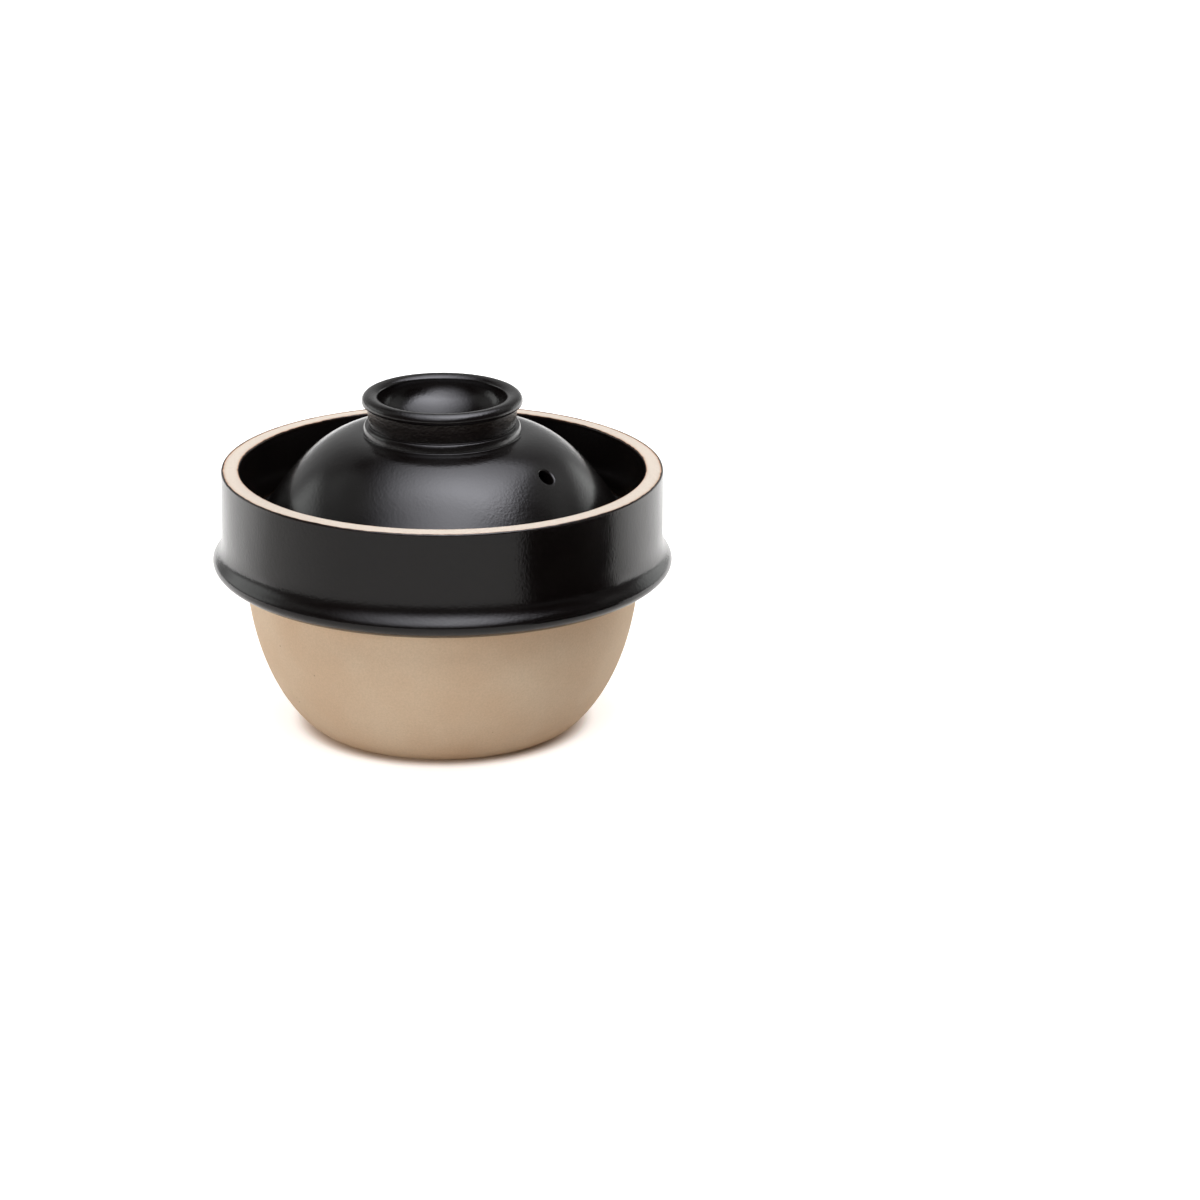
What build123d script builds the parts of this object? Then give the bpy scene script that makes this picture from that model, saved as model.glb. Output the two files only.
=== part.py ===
from build123d import *
import os

# Donabe: a stoneware rice pot with a deep collar, and a domed lid that lies inside the collar.
# Millimetres, +Z up. The origin is the centre of the flat that the pot stands on.
# Every outline below is half a section: radius first, then height above the table.

# Pot, outside
BASE_RADIUS = 47.3             # outer edge of the ring that the pot stands on
STANDING_WIDTH = 9.0           # width of that ring
BASE_RECESS = 1.4              # depth of the turned hollow under the pot
BODY_RADIUS = 72.8             # where the belly meets the flange
BODY_HEIGHT = 56.0
FLANGE_RADIUS = 85.0           # the widest line of the whole pot
FLANGE_BOTTOM = 58.5
FLANGE_WIDEST = 63.1
FLANGE_UNDERCUT = 5.4          # how far the underside starts inside the widest line
FLARE_HEIGHT = 65.9            # where the flange's round top turns into the collar's hollow flare
FLARE_DEPTH = 1.45             # how far that place lies inside the widest line
COLLAR_RADIUS = 81.5
COVE_HEIGHT = 7.8              # height over which the collar flares out to it
POT_HEIGHT = 97.8
RIM_ROUND = 0.8                # rounding of both edges of the bare rim
RIM_FALL = 0.3                 # the rim's outer edge lies this much lower than its inner one

# Pot, inside
COLLAR_WALL = 6.5
WELL_DRAFT = 1.0               # the collar's wall is this much thicker at the ledge
LEDGE_HEIGHT = 73.0
LEDGE_CORNER = 2.0             # hollow rounding between the ledge and the collar
LEDGE_LIP = 1.6                # rounding of the ledge's inner edge
BODY_WALL = 9.2
FLOOR_THICKNESS = 9.5
HEEL_WALL = 11.0               # how far the flat of the floor stops inside the base's edge

# Lid, heights above the ledge that it lies on
LID_PLAY = 3.5                 # gap between the lid's edge and the collar, all round
BRIM_THICKNESS = 6.4
BRIM_ROUND = 2.8               # rounding of the brim's upper edge
BRIM_CHAMFER = 1.2             # rounding of its lower edge
FLANK_INSET = 5.3              # how far the foot of the dome's flank lies inside the lid's edge
FLANK_HEIGHT = 9.4
CROWN_RADIUS = 30.2            # where the dome meets the foot of the knob
CROWN_HEIGHT = 38.2
SEAT_WIDTH = 12.5              # flat ring on the lid's underside
LID_WALL = 6.6                 # thickness of the dome where the vent goes through
LID_CROWN_WALL = 7.5           # thickness of the lid under the bottom of the knob's dish
FLANK_WALL = 9.9               # level thickness at the foot of the flank
HOLLOW_SHOULDER = 11.5         # where the side of the hollow under the lid turns into its roof

# Knob: a hollow ring of clay, one with the lid
KNOB_RADIUS = 29.7
KNOB_HEIGHT = 52.9             # top of the knob above the ledge
KNOB_NECK_RADIUS = 27.8        # neck right under the lip
KNOB_NECK_LEAN = 0.7           # the neck is this much narrower at its foot
KNOB_LIP = 4.1                 # height of the lip that overhangs the neck
KNOB_WIDEST = 2.6              # how far the lip's widest line lies below its top
BEAD_HEIGHT = 4.6              # bead at the foot of the neck
BEAD_STEP = 1.2                # ledge on top of the bead
BEAD_RADIUS = 29.2
DISH_RADIUS = 23.7
DISH_DEPTH = 13.2
LIP_FALL = 1.6                 # the dish's edge lies this much below the top of the lip
LIP_CROWN_RADIUS = 27.0        # the highest line of the lip

# Steam vent through the dome
VENT_DIAMETER = 6.0
VENT_FLARE = 1.0               # rounding of the vent's mouth
VENT_CURVE_SHARE = 0.434       # place along the dome, from the knob to the brim
VENT_AZIMUTH = -38.7           # degrees from +X
OVERRUN = 5.0                  # how far a cutting body runs past what it cuts

# Control points of the curves, as shares of the way from start to end: radius, height
BELLY_SHARES = ((0.30, 0.07), (0.89, 0.37))
UNDERSIDE_SHARES = ((0.0, 0.7), (0.4, 0.9))
FLANGE_LOW_SHARES = ((0.22, 0.0), (1.0, 0.42))
FLANGE_TOP_SHARES = ((0.0, 0.36), (0.50, 0.66))
OUT_THEN_UP_SHARES = ((0.55, 0.0), (1.0, 0.45))
UP_THEN_OUT_SHARES = ((0.0, 0.55), (0.45, 1.0))
COVE_SHARES = ((0.53, 0.185), (1.0, 0.36))
FLOOR_TURN_SHARES = ((0.67, 0.0), (0.93, 0.27))
RECESS_SHARES = ((0.75, 0.0), (0.92, 0.6))
DISH_SHARES = ((0.55, 0.0), (1.0, 0.45))
HOLLOW_SHARES = ((0.13, 0.72), (0.40, 1.0))
HOLLOW_SIDE_SHARES = ((0.45, 0.05), (1.0, 0.45))
DOME_SHARES = ((0.43, 0.045), (0.70, 0.462))
BRIM_COVE_SHARES = ((0.26, 0.34), (0.7, 1.0))
BEAD_SHARES = ((0.0, 0.5), (0.45, 0.75))

os.makedirs("parts", exist_ok=True)


def curve(start, end, shares):
    """A smooth stretch of outline whose control points lie at shares of the way to its end."""
    reach = end[0] - start[0]
    rise = end[1] - start[1]
    controls = [(start[0] + across * reach, start[1] + up * rise) for across, up in shares]
    return Bezier(start, *controls, end)


def turned(draw_section):
    """The solid that a closed half section makes when it is turned about the pot's axis."""
    with BuildPart() as solid:
        with BuildSketch(Plane.XZ):
            with BuildLine():
                draw_section()
            make_face()
        revolve(axis=Axis.Z)
    return solid.part


def pot_section():
    """Half section of the pot: base, belly, flange, collar, rim, well, ledge and chamber."""
    recess_top = (0, BASE_RECESS)
    standing_inner = (BASE_RADIUS - STANDING_WIDTH, 0)
    heel = (BASE_RADIUS, 0)
    body_top = (BODY_RADIUS, BODY_HEIGHT)
    flange_under = (FLANGE_RADIUS - FLANGE_UNDERCUT, FLANGE_BOTTOM)
    flange_edge = (FLANGE_RADIUS, FLANGE_WIDEST)
    flare = (FLANGE_RADIUS - FLARE_DEPTH, FLARE_HEIGHT)
    collar_foot = (COLLAR_RADIUS, FLARE_HEIGHT + COVE_HEIGHT)
    rim_low = POT_HEIGHT - RIM_FALL
    collar_top = (COLLAR_RADIUS, rim_low - RIM_ROUND)
    rim_outer = (COLLAR_RADIUS - RIM_ROUND, rim_low)
    well_radius = COLLAR_RADIUS - COLLAR_WALL
    rim_inner = (well_radius + RIM_ROUND, POT_HEIGHT)
    well_top = (well_radius, POT_HEIGHT - RIM_ROUND)
    well_foot_radius = well_radius - WELL_DRAFT
    well_foot = (well_foot_radius, LEDGE_HEIGHT + LEDGE_CORNER)
    ledge_outer = (well_foot_radius - LEDGE_CORNER, LEDGE_HEIGHT)
    chamber_radius = BODY_RADIUS - BODY_WALL
    ledge_inner = (chamber_radius + LEDGE_LIP, LEDGE_HEIGHT)
    chamber_top = (chamber_radius, LEDGE_HEIGHT - LEDGE_LIP)
    floor_edge = (BASE_RADIUS - HEEL_WALL, FLOOR_THICKNESS)
    floor_centre = (0, FLOOR_THICKNESS)
    curve(recess_top, standing_inner, RECESS_SHARES)
    Line(standing_inner, heel)
    curve(heel, body_top, BELLY_SHARES)
    curve(body_top, flange_under, UNDERSIDE_SHARES)
    curve(flange_under, flange_edge, FLANGE_LOW_SHARES)
    curve(flange_edge, flare, FLANGE_TOP_SHARES)
    curve(flare, collar_foot, COVE_SHARES)
    Line(collar_foot, collar_top)
    curve(collar_top, rim_outer, UP_THEN_OUT_SHARES)
    Line(rim_outer, rim_inner)
    curve(rim_inner, well_top, OUT_THEN_UP_SHARES)
    Line(well_top, well_foot)
    curve(well_foot, ledge_outer, UP_THEN_OUT_SHARES)
    Line(ledge_outer, ledge_inner)
    curve(ledge_inner, chamber_top, OUT_THEN_UP_SHARES)
    curve(floor_edge, chamber_top, FLOOR_TURN_SHARES)
    Line(floor_edge, floor_centre)
    Line(floor_centre, recess_top)


def above_ledge(radius, height):
    """A point of the lid's outline, whose heights are measured from the ledge."""
    return (radius, LEDGE_HEIGHT + height)


crown = above_ledge(CROWN_RADIUS, CROWN_HEIGHT)
dish_floor = KNOB_HEIGHT - DISH_DEPTH
LID_RADIUS = COLLAR_RADIUS - COLLAR_WALL - WELL_DRAFT - LID_PLAY
flank_radius = LID_RADIUS - FLANK_INSET
flank_foot = above_ledge(flank_radius, FLANK_HEIGHT)


def knob_section():
    """Outline of the knob from the middle of its dish to its foot on the dome."""
    dish_middle = above_ledge(0, dish_floor)
    dish_edge = above_ledge(DISH_RADIUS, KNOB_HEIGHT - LIP_FALL)
    lip_crown = above_ledge(LIP_CROWN_RADIUS, KNOB_HEIGHT)
    lip_widest = above_ledge(KNOB_RADIUS, KNOB_HEIGHT - KNOB_WIDEST)
    lip_under = above_ledge(KNOB_NECK_RADIUS, KNOB_HEIGHT - KNOB_LIP)
    bead_top = CROWN_HEIGHT + BEAD_HEIGHT
    neck_foot_radius = KNOB_NECK_RADIUS - KNOB_NECK_LEAN
    neck_foot = above_ledge(neck_foot_radius, bead_top)
    step_edge = above_ledge(neck_foot_radius + BEAD_STEP, bead_top)
    bead_foot = above_ledge(BEAD_RADIUS, CROWN_HEIGHT)
    curve(dish_middle, dish_edge, DISH_SHARES)
    curve(dish_edge, lip_crown, UP_THEN_OUT_SHARES)
    curve(lip_crown, lip_widest, OUT_THEN_UP_SHARES)
    curve(lip_widest, lip_under, UP_THEN_OUT_SHARES)
    Line(lip_under, neck_foot)
    Line(neck_foot, step_edge)
    curve(step_edge, bead_foot, BEAD_SHARES)
    Line(bead_foot, crown)


def lid_section():
    """Half section of the lid: knob, dome, brim, flat seat and the hollow underneath."""
    cove_foot = above_ledge(LID_RADIUS - BRIM_ROUND, BRIM_THICKNESS)
    brim_edge = above_ledge(LID_RADIUS, BRIM_THICKNESS - BRIM_ROUND)
    brim_low = above_ledge(LID_RADIUS, BRIM_CHAMFER)
    seat_outer = above_ledge(LID_RADIUS - BRIM_CHAMFER, 0)
    seat_inner = above_ledge(LID_RADIUS - BRIM_CHAMFER - SEAT_WIDTH, 0)
    hollow_side = above_ledge(flank_radius - FLANK_WALL, HOLLOW_SHOULDER)
    hollow_top = above_ledge(0, dish_floor - LID_CROWN_WALL)
    knob_section()
    curve(crown, flank_foot, DOME_SHARES)
    curve(flank_foot, cove_foot, BRIM_COVE_SHARES)
    curve(cove_foot, brim_edge, OUT_THEN_UP_SHARES)
    Line(brim_edge, brim_low)
    curve(brim_low, seat_outer, UP_THEN_OUT_SHARES)
    Line(seat_outer, seat_inner)
    curve(seat_inner, hollow_side, HOLLOW_SIDE_SHARES)
    curve(hollow_side, hollow_top, HOLLOW_SHARES)
    Line(hollow_top, above_ledge(0, dish_floor))


def vent_cutter():
    """A bore with a rounded mouth, square to the dome where the steam leaves."""
    dome = curve(crown, flank_foot, DOME_SHARES)
    place = dome @ VENT_CURVE_SHARE
    slope = dome % VENT_CURVE_SHARE
    mouth = Plane(origin=(place.X, 0, place.Y), x_dir=(0, 1, 0), z_dir=(-slope.Y, 0, slope.X))
    bore_radius = VENT_DIAMETER / 2
    flare_radius = bore_radius + VENT_FLARE
    depth = LID_WALL + OVERRUN

    def bore_section():
        curve((bore_radius, -VENT_FLARE), (flare_radius, 0), UP_THEN_OUT_SHARES)
        Polyline(
            (flare_radius, 0),
            (flare_radius, OVERRUN),
            (0, OVERRUN),
            (0, -depth),
            (bore_radius, -depth),
            (bore_radius, -VENT_FLARE),
        )

    return Rot(0, 0, VENT_AZIMUTH) * (mouth * turned(bore_section))


def make_pot():
    """The pot, thrown in one piece."""
    return turned(pot_section)


def make_lid():
    """The lid, thrown in one piece with its ring knob, and its steam vent."""
    return turned(lid_section) - vent_cutter()


for node, make in (("pot", make_pot), ("lid", make_lid)):
    export_step(make(), f"parts/{node}.step")
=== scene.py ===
# %% [markdown]
# # A small donabe, a Japanese rice pot
#
# The object is two pieces of fired stoneware: a round-bellied pot with a deep collar and a thick
# flange, and a domed lid with a ring knob and a steam vent, which lies on a ledge inside the collar.
# Both are turned on a wheel, so nearly every surface here comes from one half outline that is spun
# about the pot's axis. What makes it look real is at a smaller scale: the rounded end of the glaze
# beside bare clay, the grain of the clay, and the way a black glaze mirrors the cards of a studio.
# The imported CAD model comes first, because every piece below has to stand where it stands.

# %% Load the frame
import math
from types import SimpleNamespace

import bpy
import numpy as np
from mathutils import Matrix, Vector


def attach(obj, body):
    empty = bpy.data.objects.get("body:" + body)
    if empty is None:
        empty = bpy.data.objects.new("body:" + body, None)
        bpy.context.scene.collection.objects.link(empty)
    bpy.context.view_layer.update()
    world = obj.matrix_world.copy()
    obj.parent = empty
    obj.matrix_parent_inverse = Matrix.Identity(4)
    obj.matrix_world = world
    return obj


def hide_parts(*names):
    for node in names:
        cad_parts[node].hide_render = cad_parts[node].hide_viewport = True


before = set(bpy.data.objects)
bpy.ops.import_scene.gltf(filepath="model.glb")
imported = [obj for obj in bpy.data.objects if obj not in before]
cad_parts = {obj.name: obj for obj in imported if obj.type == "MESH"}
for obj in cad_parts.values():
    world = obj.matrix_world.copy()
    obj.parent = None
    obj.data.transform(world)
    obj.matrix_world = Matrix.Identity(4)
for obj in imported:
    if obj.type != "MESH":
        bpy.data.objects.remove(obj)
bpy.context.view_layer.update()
MM = 0.001

# %% [markdown]
# ## The camera
#
# The photograph was taken from a little above, with a long lens. A long lens from far away keeps
# the ellipse of the rim flat and the pot's sides nearly parallel. The lens and the place were worked
# out from the ellipses of the rim and the flange, whose real sizes are known. Blender's camera looks
# along its own -Z, so it is tipped up by a right angle, less the pitch, and then turned about Z.

# %% Camera
PHOTO_WIDTH = 1200
FOCAL_PIXELS = 5105
SENSOR_WIDTH = 36.0
CAMERA_PLACE = Vector((0, -1.8001, 0.65205))
PITCH_DOWN = 18.61
YAW_RIGHT = 1.86
ROLL_LEFT = 0.38
CLIP_NEAR = 0.05
CLIP_FAR = 50

camera_data = bpy.data.cameras.new("camera")
camera_data.sensor_width = SENSOR_WIDTH
camera_data.lens = SENSOR_WIDTH * FOCAL_PIXELS / PHOTO_WIDTH
camera_data.clip_start = CLIP_NEAR
camera_data.clip_end = CLIP_FAR
camera = bpy.data.objects.new("camera", camera_data)
bpy.context.scene.collection.objects.link(camera)
heading = Matrix.Rotation(math.radians(-YAW_RIGHT), 4, "Z")
tip = Matrix.Rotation(math.radians(90 - PITCH_DOWN), 4, "X")
lean = Matrix.Rotation(math.radians(ROLL_LEFT), 4, "Z")
camera.matrix_world = Matrix.Translation(CAMERA_PLACE) @ heading @ tip @ lean
bpy.context.scene.camera = camera
print("lens", round(camera_data.lens, 1), "mm")

# %% [markdown]
# ## Drawing an outline
#
# A potter judges a pot by its profile, and so does this script. An outline is a list of points,
# radius first and then height, in millimetres. Each round stretch is one cubic curve, whose two
# control points are given as shares of the way from its start to its end, so the curve follows when
# a size is changed. The stretches are joined and cut again into very short even steps, and then
# softened a little, because no edge of glazed clay is sharper than about a tenth of a millimetre.

# %% Outline helpers
STEP = 0.02
SOFTENING = 0.12
CURVE_POINTS = 400


def curve(start, end, shares):
    """Points of a cubic curve whose control points lie at shares of the way to its end."""
    start = np.array(start, float)
    end = np.array(end, float)
    first, second = (start + np.array(share) * (end - start) for share in shares)
    t = np.linspace(0, 1, CURVE_POINTS)[:, None]
    s = 1 - t
    return s ** 3 * start + 3 * s ** 2 * t * first + 3 * s * t ** 2 * second + t ** 3 * end


def straight(start, end):
    """The two ends of a straight stretch."""
    return np.array([start, end], float)


def along(points):
    """How far along the line each of its points lies."""
    legs = np.linalg.norm(np.diff(points, axis=0), axis=1)
    return np.concatenate([[0], np.cumsum(legs)])


def even_outline(stretches):
    """The stretches as one line of short even steps, with its corners softened."""
    points = np.vstack(stretches)
    keep = np.concatenate([[True], np.linalg.norm(np.diff(points, axis=0), axis=1) > 1e-9])
    points = points[keep]
    places = along(points)
    even = np.arange(0, places[-1] + STEP / 2, STEP)
    line = np.stack([np.interp(even, places, points[:, axis]) for axis in (0, 1)], axis=1)
    reach = int(3 * SOFTENING / STEP)
    weights = np.exp(-0.5 * (np.arange(-reach, reach + 1) * STEP / SOFTENING) ** 2)
    weights /= weights.sum()
    padded = np.pad(line, ((reach, reach), (0, 0)), mode="reflect", reflect_type="odd")
    soft = [np.convolve(padded[:, axis], weights, mode="valid") for axis in (0, 1)]
    return np.stack(soft, axis=1)


# %% [markdown]
# ## The pot
#
# From the table up the outline goes over the standing ring, the belly, the thick flange that keeps
# the pot from boiling over onto the flame and gives the hands a hold, the cove above it, the collar
# and the bare rim. Inside, it comes down the well to the ledge that carries the lid, and on down the
# chamber to the floor. The sizes are those of the CAD model, in millimetres.

# %% Pot outline
BASE_RADIUS = 47.3
STANDING_WIDTH = 9.0
BASE_RECESS = 1.4
BODY_RADIUS = 72.8
BODY_HEIGHT = 56.0
FLANGE_RADIUS = 85.0
FLANGE_BOTTOM = 58.5
FLANGE_WIDEST = 63.1
FLANGE_UNDERCUT = 5.4
FLARE_HEIGHT = 65.9
FLARE_DEPTH = 1.45
COLLAR_RADIUS = 81.5
COVE_HEIGHT = 7.8
POT_HEIGHT = 97.8
RIM_ROUND = 0.8
RIM_FALL = 0.3
COLLAR_WALL = 6.5
WELL_DRAFT = 1.0
LEDGE_HEIGHT = 73.0
LEDGE_CORNER = 2.0
LEDGE_LIP = 1.6
BODY_WALL = 9.2
FLOOR_THICKNESS = 9.5
HEEL_WALL = 11.0
OUT_THEN_UP_SHARES = ((0.55, 0.0), (1.0, 0.45))
UP_THEN_OUT_SHARES = ((0.0, 0.55), (0.45, 1.0))

recess_top = (0, BASE_RECESS)
standing_inner = (BASE_RADIUS - STANDING_WIDTH, 0)
heel = (BASE_RADIUS, 0)
body_top = (BODY_RADIUS, BODY_HEIGHT)
flange_under = (FLANGE_RADIUS - FLANGE_UNDERCUT, FLANGE_BOTTOM)
flange_edge = (FLANGE_RADIUS, FLANGE_WIDEST)
flare = (FLANGE_RADIUS - FLARE_DEPTH, FLARE_HEIGHT)
collar_foot = (COLLAR_RADIUS, FLARE_HEIGHT + COVE_HEIGHT)
rim_low = POT_HEIGHT - RIM_FALL
collar_top = (COLLAR_RADIUS, rim_low - RIM_ROUND)
rim_outer = (COLLAR_RADIUS - RIM_ROUND, rim_low)
well_radius = COLLAR_RADIUS - COLLAR_WALL
rim_inner = (well_radius + RIM_ROUND, POT_HEIGHT)
well_top = (well_radius, POT_HEIGHT - RIM_ROUND)
well_foot_radius = well_radius - WELL_DRAFT
well_foot = (well_foot_radius, LEDGE_HEIGHT + LEDGE_CORNER)
ledge_outer = (well_foot_radius - LEDGE_CORNER, LEDGE_HEIGHT)
chamber_radius = BODY_RADIUS - BODY_WALL
ledge_inner = (chamber_radius + LEDGE_LIP, LEDGE_HEIGHT)
chamber_top = (chamber_radius, LEDGE_HEIGHT - LEDGE_LIP)
floor_edge = (BASE_RADIUS - HEEL_WALL, FLOOR_THICKNESS)
floor_centre = (0, FLOOR_THICKNESS)

pot_stretches = [
    curve(recess_top, standing_inner, ((0.75, 0.0), (0.92, 0.6))),
    straight(standing_inner, heel),
    curve(heel, body_top, ((0.30, 0.07), (0.89, 0.37))),
    curve(body_top, flange_under, ((0.0, 0.7), (0.4, 0.9))),
    curve(flange_under, flange_edge, ((0.22, 0.0), (1.0, 0.42))),
    curve(flange_edge, flare, ((0.0, 0.36), (0.50, 0.66))),
    curve(flare, collar_foot, ((0.53, 0.185), (1.0, 0.36))),
    straight(collar_foot, collar_top),
    curve(collar_top, rim_outer, UP_THEN_OUT_SHARES),
    straight(rim_outer, rim_inner),
    curve(rim_inner, well_top, OUT_THEN_UP_SHARES),
    straight(well_top, well_foot),
    curve(well_foot, ledge_outer, UP_THEN_OUT_SHARES),
    straight(ledge_outer, ledge_inner),
    curve(ledge_inner, chamber_top, OUT_THEN_UP_SHARES),
    curve(floor_edge, chamber_top, ((0.67, 0.0), (0.93, 0.27)))[::-1],
    straight(floor_edge, floor_centre),
]
print("pot outline of", len(pot_stretches), "stretches, collar", 2 * COLLAR_RADIUS, "mm across")

# %% [markdown]
# ## The lid
#
# The lid is one piece with its knob: a hollow ring that stands upside down as a little dish. Under
# the knob a small step and a bead lead into the dome, and the dome ends in a flat brim that lies on
# the ledge. Heights are counted from the ledge, as on the CAD model. Two places follow the photograph
# more closely than the CAD model does, because they move a highlight: the step lies 1.4 mm lower, and
# the dish is 0.9 mm deeper.

# %% Lid outline
LID_PLAY = 3.5
BRIM_THICKNESS = 6.4
BRIM_ROUND = 2.8
BRIM_CHAMFER = 1.2
FLANK_INSET = 5.3
FLANK_HEIGHT = 9.4
CROWN_RADIUS = 30.2
CROWN_HEIGHT = 38.2
SEAT_WIDTH = 12.5
LID_WALL = 6.6
LID_CROWN_WALL = 7.5
FLANK_WALL = 9.9
HOLLOW_SHOULDER = 11.5
KNOB_RADIUS = 29.7
KNOB_HEIGHT = 52.9
KNOB_NECK_RADIUS = 27.8
KNOB_NECK_LEAN = 0.7
KNOB_LIP = 4.1
KNOB_WIDEST = 2.6
BEAD_HEIGHT = 4.6
BEAD_STEP = 1.2
GLAZE_IN_STEP = 1.4
BEAD_RADIUS = 29.2
DISH_RADIUS = 23.7
DISH_DEPTH = 13.2
GLAZED_DISH_DEPTH = 14.1
LIP_FALL = 1.6
LIP_CROWN_RADIUS = 27.0
DOME_SHARES = ((0.43, 0.045), (0.70, 0.462))


def above_ledge(radius, height):
    """A point of the lid's outline, whose heights are counted from the ledge."""
    return (radius, LEDGE_HEIGHT + height)


lid_radius = well_foot_radius - LID_PLAY
flank_radius = lid_radius - FLANK_INSET
bead_top = CROWN_HEIGHT + BEAD_HEIGHT
dish_floor = KNOB_HEIGHT - DISH_DEPTH
dish_middle = above_ledge(0, KNOB_HEIGHT - GLAZED_DISH_DEPTH)
dish_edge = above_ledge(DISH_RADIUS, KNOB_HEIGHT - LIP_FALL)
lip_crown = above_ledge(LIP_CROWN_RADIUS, KNOB_HEIGHT)
lip_widest = above_ledge(KNOB_RADIUS, KNOB_HEIGHT - KNOB_WIDEST)
lip_under = above_ledge(KNOB_NECK_RADIUS, KNOB_HEIGHT - KNOB_LIP)
neck_foot_radius = KNOB_NECK_RADIUS - KNOB_NECK_LEAN
neck_foot = above_ledge(neck_foot_radius, bead_top - GLAZE_IN_STEP)
step_edge = above_ledge(neck_foot_radius + BEAD_STEP, bead_top - GLAZE_IN_STEP)
bead_foot = above_ledge(BEAD_RADIUS, CROWN_HEIGHT)
crown = above_ledge(CROWN_RADIUS, CROWN_HEIGHT)
flank_foot = above_ledge(flank_radius, FLANK_HEIGHT)
cove_foot = above_ledge(lid_radius - BRIM_ROUND, BRIM_THICKNESS)
brim_edge = above_ledge(lid_radius, BRIM_THICKNESS - BRIM_ROUND)
brim_low = above_ledge(lid_radius, BRIM_CHAMFER)
seat_outer = above_ledge(lid_radius - BRIM_CHAMFER, 0)
seat_inner = above_ledge(lid_radius - BRIM_CHAMFER - SEAT_WIDTH, 0)
hollow_side = above_ledge(flank_radius - FLANK_WALL, HOLLOW_SHOULDER)
hollow_top = above_ledge(0, dish_floor - LID_CROWN_WALL)

lid_stretches = [
    curve(dish_middle, dish_edge, ((0.59, 0.0), (1.0, 0.37))),
    curve(dish_edge, lip_crown, UP_THEN_OUT_SHARES),
    curve(lip_crown, lip_widest, OUT_THEN_UP_SHARES),
    curve(lip_widest, lip_under, UP_THEN_OUT_SHARES),
    straight(lip_under, neck_foot),
    curve(neck_foot, step_edge, ((0.3, 0.0), (0.6, 0.0))),
    curve(step_edge, bead_foot, ((0.6, 0.1), (0.9, 0.5))),
    straight(bead_foot, crown),
    curve(crown, flank_foot, DOME_SHARES),
    curve(flank_foot, cove_foot, ((0.26, 0.34), (0.7, 1.0))),
    curve(cove_foot, brim_edge, OUT_THEN_UP_SHARES),
    straight(brim_edge, brim_low),
    curve(brim_low, seat_outer, UP_THEN_OUT_SHARES),
    straight(seat_outer, seat_inner),
    curve(seat_inner, hollow_side, ((0.45, 0.05), (1.0, 0.45))),
    curve(hollow_side, hollow_top, ((0.13, 0.72), (0.40, 1.0))),
]
lid_stretches = [stretch[::-1] for stretch in reversed(lid_stretches)]
print("lid outline of", len(lid_stretches), "stretches, brim", 2 * lid_radius, "mm across")

# %% [markdown]
# ## Nodes and colours
#
# Colours below are written as the hex values that a paint program shows. Blender works in linear
# light, so one function turns them. Another small function adds any node, gives it its settings and
# joins what feeds it. A key that names an input sets that input, and any other key sets a property.

# %% Node helpers
def linear(hex_colour, alpha=1.0):
    """An sRGB hex colour as the linear colour that Blender's sockets take."""
    parts = [int(hex_colour[i:i + 2], 16) / 255 for i in (1, 3, 5)]
    return tuple(p / 12.92 if p <= 0.04045 else ((p + 0.055) / 1.055) ** 2.4 for p in parts) + (alpha,)


def add(tree, kind, settings=None, links=None):
    """Adds one node with its settings and the sockets that feed it."""
    made = tree.nodes.new(kind)
    for key, value in (settings or {}).items():
        if isinstance(key, int) or key in made.inputs:
            made.inputs[key].default_value = value
        else:
            setattr(made, key, value)
    for key, source in (links or {}).items():
        tree.links.new(source, made.inputs[key])
    return made


def new_material(name, colour):
    """An empty material, and the colour that the viewport shows for it."""
    made = bpy.data.materials.new(name)
    made.use_nodes = True
    made.node_tree.nodes.clear()
    made.diffuse_color = linear(colour)
    return made, made.node_tree


def per_metre(millimetres):
    """A texture's scale for a pattern whose features are this far apart."""
    return 1 / (millimetres * MM)


# %% [markdown]
# ## Bare stoneware
#
# Sand-coloured stoneware, thrown and trimmed on the wheel and fired without glaze. To the eye it is
# quite matt and warm, slightly blotchy over a few centimetres, with a fine sandy grain and a few dark
# specks where iron in the clay has melted. The trimming tool leaves faint level lines. The rim is
# painted paler than the belly, as painted light for the stronger light that falls on its top, and the
# clay is toasted brown in a thin line along the glaze. Fired clay reflects little at any angle, so its
# roughness is high, with the usual IOR of about 1.5. Blender's noise keeps mostly between 0.3 and
# 0.7, so that range is stretched where all of it should count.

# %% Colours of the stoneware
CLAY = "#CCB59A"
CLAY_WARM = "#C7AC8F"
# The pale rim colour is painted light: it stands for the stronger light on the rim's top.
CLAY_PAINTED_RIM_LIGHT = "#D8CBBD"
CLAY_TOASTED = "#A8703F"
IRON_SPECK = "#5B4432"
NOISE_LOW = 0.3
NOISE_HIGH = 0.7
BLOTCH_SIZE = 28
BLOTCH_FADE = (0.35, 0.65)
GRAIN_SIZE = 0.7
GRAIN_SHADES = (0.93, 1.05)
RIM_LIGHT_BELOW_TOP = (2.5, 1.0)
SPECK_SPACING = 6.5
SPECK_EDGE = (0.03, 0.06)
SPECK_CHOICE = (0.6, 0.95)
SPECK_DARKNESS = 0.85

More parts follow.
